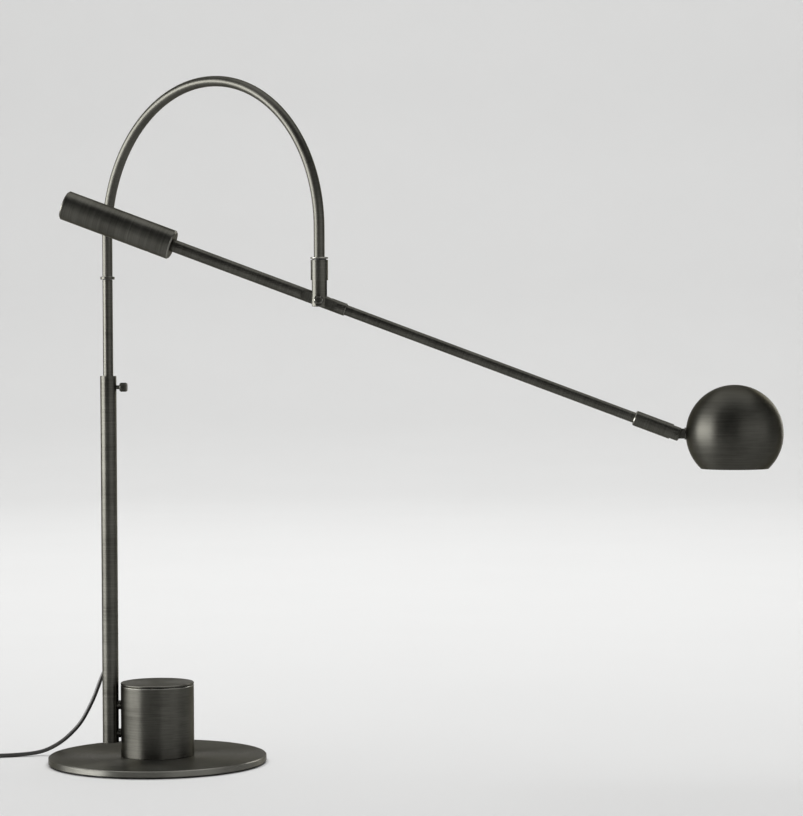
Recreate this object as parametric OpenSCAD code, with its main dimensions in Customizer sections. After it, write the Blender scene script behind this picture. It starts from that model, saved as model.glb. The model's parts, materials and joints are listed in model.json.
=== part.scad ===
// Swing arm table lamp: a ball shade on a counterweighted arm that hangs in a fork from an arch.
// The arch turns on a stem that slides in a pole, and the pole is screwed to a drum on a round base.
// Millimetres. +Z is up, the table is z = 0, and the origin is the centre of the base's underside.

/* [Base] */
// Diameter of the base plate
base_d = 216; // [190:1:240]
// Thickness of the base plate
base_t = 6.4; // [5:0.1:9]
// Thickness of the pad under the plate
pad_t = 1.2; // [0.8:0.1:2]
// Set-back of the pad from the plate's edge
pad_inset = 4; // [2:0.5:8]
// Chamfer on the plate's edges
base_chamfer = 0.8; // [0.4:0.1:1.5]
// Diameter of the plate screws
base_screw_d = 5; // [4:0.5:6]
// Diameter of the plate screws' heads
base_head_d = 9.5; // [8:0.5:12]
// Radius of the circle of plate screws
base_screw_r = 20; // [14:1:24]

/* [Drum] */
// Diameter of the drum
drum_d = 72.5; // [66:0.5:80]
// Height from the plate to the top of the dimmer cap
drum_h = 72.4; // [66:0.2:90]
// Wall of the drum
drum_wall = 3; // [2.5:0.1:4]
// Floor of the drum
drum_floor = 4; // [3:0.5:6]
// Height of the ballast in the drum
ballast_h = 30; // [25:1:34]
// Thickness of the deck that carries the dimmer
deck_t = 2.5; // [2:0.1:4]
// Width of the ledge that the deck sits on
deck_ledge = 1.2; // [0.8:0.1:1.6]
// Depth of the well between the drum's rim and the deck
well_depth = 6.4; // [6:0.1:9]

/* [Dimmer] */
// Thickness of the dimmer cap
cap_t = 1.8; // [1.4:0.1:3]
// Open seam under the dimmer cap
cap_gap = 0.6; // [0.4:0.1:1]
// Diameter of the hub under the cap
hub_d = 14; // [10:0.5:18]
// Width of the dimmer's case
dimmer_w = 28; // [22:1:34]
// Height of the dimmer's case
dimmer_h = 14; // [11:0.5:18]
// Diameter of the dimmer's threaded bush
dimmer_bush_d = 9; // [8:0.5:11]
// Thickness of the dimmer's nut
dimmer_nut_t = 2.4; // [2:0.1:3]
// Diameter of the dimmer's shaft
dimmer_shaft_d = 6; // [5:0.1:6.5]

/* [Pole] */
// Diameter of the pole
pole_d = 16; // [15:0.5:20]
// Wall of the pole
pole_wall = 1.5; // [1.2:0.1:1.8]
// Length of the pole
pole_l = 363.7; // [330:0.1:400]
// Height of the pole's foot above the plate
pole_lift = 12.9; // [8:0.1:14]
// Gap between the pole and the drum
pole_gap = 2.25; // [1.5:0.05:4]
// Length of the solid plug in the pole's foot
plug_l = 52; // [48:1:60]
// Height of the lower pole screw above the plate
pole_screw_z = 22; // [20:0.5:25]
// Distance between the two pole screws
pole_screw_step = 28; // [26:0.5:30]
// Diameter of the pole screws
pole_screw_d = 4; // [3:0.5:5]
// Diameter of the pole screws' heads
pole_screw_head_d = 7; // [6:0.5:8]
// Diameter of the spacers between pole and drum
spacer_d = 9; // [8:0.5:11]
// Length of the bush in the pole's top
pole_bush_l = 30; // [24:1:40]

/* [Thumbscrew] */
// Distance of the thumbscrew below the pole's top
lock_drop = 11.2; // [9:0.1:16]
// Diameter of the thumbscrew's shank
lock_d = 4; // [3:0.5:5]
// Length of shank that shows outside the pole
lock_neck = 3.2; // [2:0.1:5]
// Diameter of the thumbscrew's head
lock_head_d = 9; // [8:0.5:12]
// Length of the thumbscrew's head
lock_head_l = 7.6; // [6:0.1:10]

/* [Stem] */
// Diameter of the sliding stem
stem_d = 10; // [9.4:0.1:10.6]
// Wall of the stem
stem_wall = 1.2; // [1:0.1:1.3]
// Length of stem above the pole
stem_out = 94.9; // [93:0.1:120]
// Length of stem inside the pole
stem_in = 165; // [150:1:170]
// Length of the guide below the stem
guide_l = 10; // [8:0.5:14]

/* [Arch] */
// Diameter of the arch tube
arch_d = 10; // [9.4:0.1:11]
// Wall of the arch tube
arch_wall = 1.2; // [1:0.1:1.3]
// Radius of the arch's centre line
arch_r = 143.4; // [138:0.1:160]
// Turn of the arch out of the side view, in degrees
arch_turn = 41.3; // [30:0.1:50]
// Straight length of the arch's leg on the stem
stem_leg = 39.6; // [30:0.1:60]
// Straight length of the arch's leg above the fork
fork_leg = 27.9; // [20:0.1:34]
// Diameter of the collar on the stem
foot_collar_d = 14; // [12.5:0.1:16]
// Thickness of the collar on the stem
foot_collar_t = 2.7; // [2:0.1:4]
// Thickness of the washer under the collar
foot_washer_t = 0.6; // [0.4:0.1:1]
// Diameter of the spigot that turns in the stem
foot_spigot_d = 5.6; // [5.4:0.1:5.8]
// Length of the bush in the stem
stem_bush_l = 16; // [12:0.5:20]

/* [Fork] */
// Diameter of the fork
fork_d = 16; // [15.5:0.1:18]
// Length of the fork
fork_l = 43; // [41:0.5:48]
// Height of the fork's slot
slot_h = 24.3; // [24:0.1:25]
// Width of the fork's slot
slot_w = 9.6; // [9.2:0.1:10]
// Height of the pivot above the fork's end
pin_up = 5.9; // [5.6:0.1:7]
// Diameter of the ring above the fork
fork_ring_d = 16.4; // [15:0.1:18]
// Thickness of the ring above the fork
fork_ring_t = 1.4; // [1:0.1:2.5]
// Thickness of the washer under the ring
fork_washer_t = 1; // [0.6:0.1:1.5]
// Diameter of the spigot that turns in the fork
fork_spigot_d = 8; // [7:0.1:8.4]
// Diameter of the bush in the fork
fork_bush_d = 11; // [10.4:0.1:12]
// Length of the bush in the fork
fork_bush_l = 12; // [10:0.5:13]
// Diameter of the pivot screw
pivot_d = 4; // [3.4:0.1:4.4]
// Diameter of the pivot screw's head
pivot_head_d = 8; // [7:0.1:8.4]
// Thickness of the friction washers at the pivot
pivot_washer_t = 0.5; // [0.4:0.1:0.7]

/* [Arm] */
// Turn of the arm out of the side view, in degrees
arm_turn = 6; // [0:1:20]
// Fall of the arm towards the shade, in degrees
arm_tilt = 20.7; // [10:0.1:30]
// Diameter of the arm's rear part
sleeve_d = 11.6; // [11:0.1:12]
// Length of the rear part in front of the pivot
sleeve_front = 26.1; // [24:0.1:32]
// Length of the flats on each side of the pivot
flat_reach = 17.5; // [17:0.1:19]
// Diameter of the arm's front rod
rod_d = 9.6; // [9:0.1:10]
// Wall of the arm's front rod
rod_wall = 1.5; // [1.3:0.1:1.7]
// Diameter of the counterweight
weight_d = 27.6; // [24:0.1:30]
// Length of the counterweight
weight_l = 108.5; // [100:0.5:118]
// Distance from the pivot to the counterweight
weight_reach = 146.3; // [140:0.1:151]
// Thickness of the counterweight's closed rear end
weight_end = 28; // [12:1:40]
// Diameter of the ferrule
ferrule_d = 14; // [13.6:0.1:15]
// Length of the ferrule
ferrule_l = 44.1; // [38:0.1:50]
// Distance from the pivot to the ferrule
ferrule_reach = 308.3; // [280:0.1:330]

/* [Shade] */
// Bend at the knuckle, in degrees
shade_bend = 20.7; // [10:0.1:30]
// Distance from the ferrule's end back to the knuckle pin
knuckle_back = 3.2; // [2.8:0.1:3.4]
// Diameter of the knuckle pin
knuckle_pin_d = 3; // [2.5:0.1:3.4]
// Thickness of the knuckle's tongue
tongue_t = 6.2; // [5.4:0.1:6.6]
// Distance from the knuckle pin to the shade's surface
neck_l = 8.1; // [8:0.1:10]
// Diameter of the neck's collar
neck_collar_d = 11; // [9:0.1:12]
// Outer diameter of the ball shade
shade_d = 88.3; // [84:0.1:96]
// Wall of the shade
shade_wall = 1.2; // [0.8:0.1:1.6]
// Height from the shade's rim to its centre
shade_cut = 31.9; // [28:0.1:34]
// Diameter of the neck's stud through the shade
stud_d = 6; // [5:0.1:7]
// Width of the lampholder's bracket
bracket_w = 10; // [8:0.5:12]
// Thickness of the lampholder's bracket
bracket_t = 1.5; // [1:0.1:2]
// Height of the bracket's arm above the shade's centre
bracket_up = 8; // [7.5:0.1:8.5]
// Diameter of the lampholder
holder_d = 20; // [18:0.5:22]
// Diameter of the bulb
bulb_d = 16; // [14:0.5:17]
// Length of bulb below the lampholder
bulb_l = 30; // [26:0.5:32]

/* [Cord] */
// Diameter of the mains cord
cord_d = 4; // [3.6:0.1:4]
// Length of the strain relief behind the pole
gland_l = 19; // [17:0.5:20]
// Height of the strain relief
gland_z = 112; // [108:0.5:114]
// Middle radius of the coil's turns
coil_r = 23; // [22:0.5:24]
// Turns of the coil in each layer
layer_turns = 2.5625; // [2.5625:0.25:3.0625]
// Distance between neighbouring turns of the coil
coil_pitch = 4.5; // [4.45:0.05:4.8]
// Diameter of the plug's front
mains_plug_d = 22; // [20:0.5:26]
// Length of the plug's body
mains_plug_l = 34; // [30:1:40]
// Length of the plug's blades
blade_l = 16.5; // [15:0.5:18]

/* [Clearances] */
// Radial clearance of turning and sliding fits
run_fit = 0.05; // [0.03:0.01:0.08]
// Radial clearance of fixed fits
fixed_fit = 0.03; // [0.02:0.01:0.1]
// Gap between neighbouring moving faces
face_gap = 0.3; // [0.25:0.05:0.4]

/* [Hidden] */
$fn = 96;
tiny = 0.01;
edge_break = 0.4;
thread_over = 1.2;
nut_margin = 5;
screw_relief = 2;
washer_inset = 0.5;
hex_key_d = 2.9;
bronze = [0.23, 0.22, 0.19];
bronze_dark = [0.16, 0.15, 0.13];
steel = [0.55, 0.55, 0.56];
brass = [0.70, 0.58, 0.32];
nylon = [0.12, 0.12, 0.12];
ceramic = [0.90, 0.89, 0.86];
black = [0.06, 0.06, 0.06];

// Levels and places that several pieces share
plate_top = pad_t + base_t;
drum_bore = drum_d - 2 * drum_wall;
cap_top = plate_top + drum_h;
rim_z = cap_top - cap_t - cap_gap;
deck_z = rim_z - well_depth;
dimmer_bush_top = deck_z + dimmer_nut_t + thread_over;
dimmer_floor = deck_z - deck_t - dimmer_h;
dimmer_floor_t = 3;
pole_x = -(drum_d / 2 + pole_gap + pole_d / 2);
pole_bore = pole_d - 2 * pole_wall;
pole_z = plate_top + pole_lift;
pole_top = pole_z + pole_l;
lock_z = pole_top - lock_drop;
pole_screw_heights = [plate_top + pole_screw_z, plate_top + pole_screw_z + pole_screw_step];
pole_screw_head_l = 2.4;
head_seat = 0.3;
stem_bore = stem_d - 2 * stem_wall;
stem_top = pole_top + stem_out;
stem_foot = pole_top - stem_in;
lead_d = 3;
lead_hole_d = 3.4;
lead_slack = 6;

foot_z = stem_top + foot_washer_t;
spring_z = foot_z + foot_collar_t + stem_leg;
arch_bore = arch_d - 2 * arch_wall;
arch_plug_l = 14;
clip_t = 1;
clip_groove = 0.5;
clip_float = 0.2;
clip_mouth = 0.7;
spigot_end = 1.2;
fork_ring_z = spring_z - fork_leg - fork_ring_t;
fork_top = fork_ring_z - fork_washer_t;
fork_foot = fork_top - fork_l;
slot_top = fork_foot + slot_h;
pin_z = fork_foot + pin_up;
fork_x = pole_x + 2 * arch_r * cos(arch_turn);
fork_y = -2 * arch_r * sin(arch_turn);
spot_margin = 0.5;
spot_d = pivot_head_d + 2 * spot_margin;
cheek_t = 1.6;
pivot_half = slot_w / 2 + cheek_t;
pivot_head_l = 1.4;
flat_t = slot_w - 2 * pivot_washer_t - 2 * run_fit;

sleeve_back = weight_reach + weight_l - weight_end;
seat_wall = 1.1;
lead_entry = 9;
rod_back = flat_reach + seat_wall;
rod_bore = rod_d - 2 * rod_wall;
ferrule_wall = 1;
ferrule_bush_l = 25;
rod_stop_l = 3;
knuckle_s = ferrule_reach + ferrule_l - knuckle_back;
tongue_r = 4.5;
knuckle_slot_w = tongue_t + 2 * face_gap;
knuckle_slot_back = tongue_r + 2 * face_gap;
neck_face = 7.1;
neck_reach = neck_l + shade_d / 2;
shade_r = shade_d / 2;
shade_inner_r = shade_r - shade_wall;
bracket_x = -shade_inner_r + 2;
neck_washer_d = stud_d + 7;
neck_washer_x = -sqrt(pow(shade_inner_r, 2) - pow(neck_washer_d / 2, 2)) + fixed_fit;
neck_nut_t = 3;
holder_flange_t = 2;
holder_h = 20;
bulb_base_d = 12;
bulb_base_l = 12;
holder_screw_d = 3;
holder_screw_x = holder_d / 2 + 3;

// Frames in which the tilted pieces are drawn
module at_pole(z) translate([pole_x, 0, z]) children();
module arch_frame() at_pole(spring_z) rotate([0, 0, -arch_turn]) children();
module at_fork(z) translate([fork_x, fork_y, z]) rotate([0, 0, -arm_turn]) children();
module arm_frame() at_fork(pin_z) rotate([0, arm_tilt, 0]) children();
module along_arm(s) arm_frame() translate([s, 0, 0]) rotate([0, 90, 0]) children();
module knuckle_frame() arm_frame() translate([knuckle_s, 0, 0]) children();
module shade_frame() knuckle_frame() rotate([0, -shade_bend, 0])
    translate([neck_reach, 0, 0]) children();

// Shapes that repeat
module bar(d, h, c) {
    r = d / 2;
    rotate_extrude() polygon([[0, 0], [r - c, 0], [r, c], [r, h - c], [r - c, h], [0, h]]);
}
module ring(d, hole, h) {
    difference() {
        cylinder(d = d, h = h);
        translate([0, 0, -1]) cylinder(d = hole, h = h + 2);
    }
}
module to_x() rotate([0, 90, 0]) children();
module to_back() rotate([-90, 0, 0]) children();
module split_clip(d, hole) {
    difference() {
        ring(d, hole, clip_t);
        translate([0, -hole * clip_mouth / 2, -1]) cube([d, hole * clip_mouth, clip_t + 2]);
    }
}
module three_round(r) for (a = [90, 210, 330]) rotate(a) translate([r, 0, 0]) children();

// Base plate with its pad and screws
base_head_h = (base_head_d - base_screw_d) / 2;
base_screw_bite = 14;
base_screw_l = base_t + drum_floor + base_screw_bite;

module base_plate() color(bronze) difference() {
    translate([0, 0, pad_t]) bar(base_d, base_t, base_chamfer);
    three_round(base_screw_r) {
        cylinder(d = base_screw_d + 2 * fixed_fit, h = plate_top + 1);
        translate([0, 0, pad_t - tiny])
            cylinder(d1 = base_head_d + 2 * fixed_fit, d2 = base_screw_d + 2 * fixed_fit,
                     h = base_head_h);
    }
}
module base_pad() color(black) cylinder(d = base_d - 2 * pad_inset, h = pad_t);
module base_screws() color(steel) three_round(base_screw_r) translate([0, 0, pad_t]) rotate_extrude()
    polygon([[0, 0], [base_head_d / 2, 0], [base_screw_d / 2, base_head_h],
             [base_screw_d / 2, base_screw_l], [0, base_screw_l]]);

// Drum: shell, ballast and deck
drum_chamfer = 0.5;
module pole_screw_holes(d) for (z = pole_screw_heights) translate([pole_x, 0, z]) to_x()
    cylinder(d = d, h = drum_d / 2);
module drum_shell() color(bronze) difference() {
    translate([0, 0, plate_top]) bar(drum_d, rim_z - plate_top, drum_chamfer);
    translate([0, 0, plate_top + drum_floor]) cylinder(d = drum_bore, h = drum_h);
    translate([0, 0, deck_z - deck_t]) cylinder(d = drum_bore + 2 * deck_ledge, h = drum_h);
    three_round(base_screw_r)
        cylinder(d = base_screw_d + 2 * fixed_fit, h = plate_top + drum_floor + 1);
    pole_screw_holes(pole_screw_d + 2 * fixed_fit);
}
module drum_ballast() color(steel) difference() {
    translate([0, 0, plate_top + drum_floor]) cylinder(d = drum_bore - 2 * fixed_fit, h = ballast_h);
    three_round(base_screw_r)
        cylinder(d = base_screw_d + 2 * fixed_fit, h = pad_t + base_screw_l + screw_relief);
    for (z = pole_screw_heights) translate([-drum_bore / 2 - 1, 0, z]) to_x()
        cylinder(d = pole_screw_head_d + screw_relief, h = pole_screw_head_l + head_seat + screw_relief);
}
module drum_deck() color(steel) translate([0, 0, deck_z - deck_t])
    ring(drum_bore + 2 * deck_ledge - 2 * fixed_fit, dimmer_bush_d + 2 * fixed_fit, deck_t);

// Dimmer under the drum's cap
module dimmer_module() color(black) difference() {
    union() {
        translate([-dimmer_w / 2, -dimmer_w / 2, dimmer_floor]) cube([dimmer_w, dimmer_w, dimmer_h]);
        translate([0, 0, deck_z - deck_t - 1])
            cylinder(d = dimmer_bush_d, h = dimmer_bush_top - deck_z + deck_t + 1);
    }
    translate([0, 0, dimmer_floor + dimmer_floor_t])
        cylinder(d = dimmer_shaft_d + 2 * run_fit, h = dimmer_h + well_depth + deck_t);
}
module dimmer_nut() color(brass) translate([0, 0, deck_z]) difference() {
    cylinder(d = dimmer_bush_d + nut_margin, h = dimmer_nut_t, $fn = 6);
    translate([0, 0, -1]) cylinder(d = dimmer_bush_d + 2 * fixed_fit, h = dimmer_nut_t + 2);
}
shaft_foot = dimmer_floor + dimmer_floor_t + face_gap;
shaft_top = cap_top - cap_t / 2;
module dimmer_shaft() color(steel) translate([0, 0, shaft_foot])
    cylinder(d = dimmer_shaft_d, h = shaft_top - shaft_foot);
module dimmer_cap() color(bronze) difference() {
    union() {
        translate([0, 0, cap_top - cap_t]) bar(drum_d, cap_t, edge_break);
        translate([0, 0, dimmer_bush_top + face_gap])
            cylinder(d = hub_d, h = shaft_top - dimmer_bush_top - face_gap);
    }
    translate([0, 0, dimmer_bush_top])
        cylinder(d = dimmer_shaft_d + 2 * fixed_fit, h = shaft_top - dimmer_bush_top);
}

// Pole, screwed to the drum's side
module pole() color(bronze) difference() {
    at_pole(pole_z) ring(pole_d, pole_bore, pole_l);
    pole_screw_holes(pole_screw_d + 2 * fixed_fit);
    at_pole(lock_z) to_x() cylinder(d = lock_d + 2 * run_fit, h = pole_d);
    at_pole(gland_z) to_back() cylinder(d = gland_barrel_d + 2 * fixed_fit, h = pole_d);
}
module pole_plug() color(bronze_dark) difference() {
    at_pole(pole_z) bar(pole_bore - 2 * fixed_fit, plug_l, edge_break);
    for (z = pole_screw_heights) translate([pole_x - pole_screw_grip - head_seat, 0, z]) to_x()
        cylinder(d = pole_screw_d + 2 * fixed_fit, h = pole_d);
}
module pole_spacers() color(bronze_dark) difference() {
    for (z = pole_screw_heights) translate([pole_x + pole_d / 4, 0, z]) to_x()
        ring(spacer_d, pole_screw_d + 2 * fixed_fit, pole_d / 4 + pole_gap + drum_wall);
    at_pole(pole_z) cylinder(d = pole_d, h = pole_l);
    translate([0, 0, plate_top]) cylinder(d = drum_d, h = drum_h);
}
pole_screw_grip = 3;
pole_screw_l = -pole_x - drum_bore / 2 + head_seat + pole_screw_grip;
module pole_screws() color(steel)
    for (z = pole_screw_heights) translate([pole_x - pole_screw_grip, 0, z]) to_x() {
        cylinder(d = pole_screw_d, h = pole_screw_l);
        translate([0, 0, pole_screw_l]) cylinder(d = pole_screw_head_d, h = pole_screw_head_l);
    }
bush_sink = 0.4;
module pole_bush() color(nylon) difference() {
    at_pole(pole_top - pole_bush_l)
        ring(pole_bore - 2 * fixed_fit, stem_d + 2 * run_fit, pole_bush_l - bush_sink);
    at_pole(lock_z) to_x() cylinder(d = lock_d + 2 * face_gap, h = pole_d);
}

// Thumbscrew that locks the stem
lock_chamfer = 0.6;
module lock_screw() color(bronze_dark) at_pole(lock_z) to_x() {
    tip = stem_d / 2 + run_fit * 2;
    head = pole_d / 2 + lock_neck;
    translate([0, 0, tip]) cylinder(d = lock_d, h = head - tip);
    translate([0, 0, head]) bar(lock_head_d, lock_head_l, lock_chamfer);
}

// Stem that slides in the pole, with its guide and the bush of the arch's swivel
module stem_tube() color(bronze) at_pole(stem_foot) ring(stem_d, stem_bore, stem_top - stem_foot);
guide_plug_l = 12;
module stem_guide() color(nylon) at_pole(stem_foot - guide_l) difference() {
    union() {
        cylinder(d = pole_bore - 2 * run_fit, h = guide_l);
        cylinder(d = stem_bore - 2 * fixed_fit, h = guide_l + guide_plug_l);
    }
    translate([0, 0, -1]) cylinder(d = lead_hole_d, h = guide_l + guide_plug_l + 2);
}
module stem_bush() color(brass) at_pole(stem_top - stem_bush_l)
    ring(stem_bore - 2 * fixed_fit, foot_spigot_d + 2 * run_fit, stem_bush_l);
module foot_washer() color(nylon) at_pole(stem_top)
    ring(stem_d - 2 * washer_inset, foot_spigot_d + 2 * face_gap, foot_washer_t - run_fit);
spigot_foot = stem_top - stem_bush_l - clip_float - clip_t - spigot_end;
module stem_lead() color(black) at_pole(stem_foot - guide_l)
    cylinder(d = lead_d, h = spigot_foot - lead_slack - stem_foot + guide_l);

// Swivel fitting: a plug in the arch tube, a flange, and a spigot with a groove for its clip
flange_chamfer = 0.3;
module swivel_fitting(flange_d, flange_t, spigot_d, spigot_l, clip_z) difference() {
    union() {
        translate([0, 0, flange_t]) cylinder(d = arch_bore - 2 * fixed_fit, h = arch_plug_l);
        bar(flange_d, flange_t, flange_chamfer);
        translate([0, 0, -spigot_l]) cylinder(d = spigot_d, h = spigot_l + flange_t / 2);
    }
    translate([0, 0, -spigot_l - 1])
        cylinder(d = lead_hole_d, h = spigot_l + flange_t + arch_plug_l + 2);
    translate([0, 0, clip_z - fixed_fit])
        ring(spigot_d + 2, spigot_d - 2 * clip_groove, clip_t + 2 * fixed_fit);
}

// Arch with the fitting at each end
module half_ring() translate([arch_r, 0, 0]) rotate([90, 0, 0]) rotate_extrude(angle = 180)
    translate([arch_r, 0]) children();
module arch_tube() color(bronze) arch_frame() {
    translate([0, 0, -stem_leg]) ring(arch_d, arch_bore, stem_leg);
    half_ring() difference() {
        circle(d = arch_d);
        circle(d = arch_bore);
    }
    translate([2 * arch_r, 0, -fork_leg]) ring(arch_d, arch_bore, fork_leg);
}
foot_clip_z = stem_top - stem_bush_l - clip_float - clip_t;
module arch_foot() color(bronze) at_pole(foot_z)
    swivel_fitting(foot_collar_d, foot_collar_t, foot_spigot_d,
                   foot_z - spigot_foot, foot_clip_z - foot_z);
module foot_clip() color(steel) at_pole(foot_clip_z)
    split_clip(stem_bore - 2 * face_gap, foot_spigot_d - 2 * clip_groove + 2 * fixed_fit);
fork_clip_z = fork_top - fork_bush_l - clip_float - clip_t;
fork_spigot_foot = fork_clip_z - spigot_end;
module arch_tip() color(bronze) at_fork(fork_ring_z)
    swivel_fitting(fork_ring_d, fork_ring_t, fork_spigot_d,
                   fork_ring_z - fork_spigot_foot, fork_clip_z - fork_ring_z);
module tip_clip() color(steel) at_fork(fork_clip_z)
    split_clip(fork_bush_d - 2 * face_gap, fork_spigot_d - 2 * clip_groove + 2 * fixed_fit);
module arch_lead() color(black) arch_frame() {
    translate([0, 0, spigot_foot - spring_z]) cylinder(d = lead_d, h = spring_z - spigot_foot);
    half_ring() circle(d = lead_d);
    translate([2 * arch_r, 0, fork_spigot_foot - spring_z])
        cylinder(d = lead_d, h = spring_z - fork_spigot_foot);
}

// Fork that hangs from the arch, and the pivot of the arm
module pivot_bore(d) at_fork(pin_z) translate([0, -fork_d, 0]) to_back() cylinder(d = d, h = 2 * fork_d);
module both_sides() for (s = [0, 180]) rotate([0, 0, s]) children();
module fork_body() color(bronze) difference() {
    at_fork(fork_foot) bar(fork_d, fork_l, edge_break);
    at_fork(fork_spigot_foot - face_gap) cylinder(d = fork_bush_d, h = fork_l);
    at_fork(slot_top - 1) cylinder(d = lead_hole_d, h = fork_l);
    at_fork(fork_foot - 1) translate([-fork_d, -slot_w / 2, 0]) cube([2 * fork_d, slot_w, slot_h + 1]);
    pivot_bore(pivot_d + 2 * fixed_fit);
    at_fork(pin_z) both_sides() translate([0, pivot_half, 0]) to_back()
        cylinder(d = spot_d, h = fork_d);
}
module fork_bush() color(brass) at_fork(fork_top - fork_bush_l)
    ring(fork_bush_d - 2 * fixed_fit, fork_spigot_d + 2 * run_fit, fork_bush_l);
module fork_washer() color(nylon) at_fork(fork_top)
    ring(fork_bush_d + 2, fork_spigot_d + 2 * face_gap, fork_washer_t - run_fit);
hex_depth = 0.9;
pivot_chamfer = 0.4;
module pivot_screw() color(bronze_dark) at_fork(pin_z) difference() {
    union() {
        translate([0, -pivot_half, 0]) to_back() cylinder(d = pivot_d, h = 2 * pivot_half + pivot_head_l);
        translate([0, -pivot_half - pivot_head_l, 0]) to_back()
            bar(pivot_head_d, pivot_head_l, pivot_chamfer);
    }
    translate([0, -pivot_half - pivot_head_l - 1, 0]) to_back()
        cylinder(d = hex_key_d, h = hex_depth + 1, $fn = 6);
}
module pivot_nut() color(bronze_dark) at_fork(pin_z) translate([0, pivot_half, 0]) to_back()
    ring(pivot_head_d, pivot_d + 2 * fixed_fit, pivot_head_l);
module pivot_washers() color(nylon) at_fork(pin_z) both_sides()
    translate([0, slot_w / 2 - pivot_washer_t, 0]) to_back()
        ring(sleeve_d - 2 * washer_inset, pivot_d + 2 * fixed_fit, pivot_washer_t);

// Arm: rear part, front rod and counterweight
flat_over = 1;
sleeve_chamfer = 0.5;
module flat_outline() {
    r = sleeve_d / 2 + flat_over;
    translate([-flat_reach + r, -r]) square([2 * flat_reach - 2 * r, 2 * r]);
    for (s = [-1, 1]) translate([s * (flat_reach - r), 0]) circle(r = r);
}
module arm_sleeve() color(bronze) difference() {
    along_arm(-sleeve_back) bar(sleeve_d, sleeve_back + sleeve_front, sleeve_chamfer);
    arm_frame() both_sides() translate([0, flat_t / 2, 0]) to_back()
        linear_extrude(sleeve_d) flat_outline();
    arm_frame() translate([0, -sleeve_d, 0]) to_back()
        cylinder(d = pivot_d + 2 * run_fit, h = 2 * sleeve_d);
    along_arm(rod_back) cylinder(d = rod_d + 2 * fixed_fit, h = sleeve_front);
    along_arm(lead_entry - 1) cylinder(d = lead_hole_d, h = sleeve_front);
    arm_frame() translate([lead_entry, 0, 0]) cylinder(d = lead_hole_d + 2 * face_gap, h = sleeve_d);
}
rod_front = ferrule_reach + ferrule_bush_l + clip_float;
module arm_rod() color(bronze) along_arm(rod_back) ring(rod_d, rod_bore, rod_front - rod_back);
stop_shank_l = 8;
module rod_stop() color(steel) along_arm(rod_front) difference() {
    union() {
        cylinder(d = ferrule_chamber - 2 * face_gap, h = rod_stop_l);
        translate([0, 0, -stop_shank_l]) cylinder(d = rod_bore - 2 * fixed_fit, h = stop_shank_l + 1);
    }
    translate([0, 0, -stop_shank_l - 1]) cylinder(d = lead_hole_d, h = rod_stop_l + stop_shank_l + 2);
}
module arm_lead() color(black) along_arm(lead_entry)
    cylinder(d = lead_d, h = rod_front + rod_stop_l - lead_entry);
weight_chamfer = 1.2;
module counterweight() color(bronze) difference() {
    along_arm(-weight_reach - weight_l) bar(weight_d, weight_l, weight_chamfer);
    along_arm(-sleeve_back) cylinder(d = sleeve_d + 2 * fixed_fit, h = sleeve_back);
    arm_frame() translate([grub_s, 0, -weight_d]) cylinder(d = grub_d + 2 * fixed_fit, h = weight_d);
}
grub_d = 5;
grub_inset = 20;
grub_sink = 1;
grub_socket = 2;
grub_s = -weight_reach - grub_inset;
module weight_grub() color(steel) arm_frame()
    translate([grub_s, 0, -weight_d / 2 + grub_sink]) difference() {
        cylinder(d = grub_d, h = weight_d / 2 - grub_sink - sleeve_d / 2 - 2 * fixed_fit);
        translate([0, 0, -1]) cylinder(d = hex_key_d, h = grub_socket + 1, $fn = 6);
    }

// Ferrule that turns on the rod and carries the knuckle
ferrule_chamber = ferrule_d - 2 * ferrule_wall;
ferrule_chamfer = 1;
module ferrule() color(bronze) difference() {
    along_arm(ferrule_reach) bar(ferrule_d, ferrule_l, ferrule_chamfer);
    along_arm(ferrule_reach - 1)
        cylinder(d = ferrule_chamber, h = ferrule_bush_l + rod_stop_l + 2 * clip_float + 1);
    along_arm(ferrule_reach) cylinder(d = lead_hole_d, h = ferrule_l);
    knuckle_frame() translate([-knuckle_slot_back, -knuckle_slot_w / 2, -ferrule_d])
        cube([ferrule_l, knuckle_slot_w, 2 * ferrule_d]);
    knuckle_frame() translate([0, -ferrule_d, 0]) to_back()
        cylinder(d = knuckle_pin_d + 2 * fixed_fit, h = 2 * ferrule_d);
}
module ferrule_bush() color(brass) along_arm(ferrule_reach)
    ring(ferrule_chamber - 2 * fixed_fit, rod_d + 2 * run_fit, ferrule_bush_l);
pin_sink = 0.5;
pin_chamfer = 0.3;
knuckle_pin_l = ferrule_d - 2 * pin_sink;
module knuckle_pin() color(bronze_dark) knuckle_frame() translate([0, -knuckle_pin_l / 2, 0]) to_back()
    bar(knuckle_pin_d, knuckle_pin_l, pin_chamfer);

// Shade with its neck, lampholder and bulb
module shade_neck() color(bronze) shade_frame() difference() {
    union() {
        translate([-neck_reach, tongue_t / 2, 0]) rotate([90, 0, 0]) linear_extrude(tongue_t) {
            circle(r = tongue_r);
            translate([0, -tongue_r]) square([neck_face + tiny, 2 * tongue_r]);
        }
        difference() {
            translate([-neck_reach + neck_face, 0, 0]) to_x()
                cylinder(d = neck_collar_d, h = neck_l - neck_face + 1);
            sphere(r = shade_r);
        }
        translate([-neck_reach + neck_face, 0, 0]) to_x() cylinder(d = stud_d, h = stud_l);
    }
    translate([-neck_reach, -tongue_t, 0]) to_back()
        cylinder(d = knuckle_pin_d + 2 * run_fit, h = 2 * tongue_t);
    translate([-neck_reach + neck_face - neck_drill, 0, 0]) to_x()
        cylinder(d = lead_d, h = stud_l + neck_drill + 1);
}
neck_drill = 1.4;
stud_l = neck_reach - neck_face + bracket_x + bracket_t + neck_nut_t + thread_over;
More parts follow.
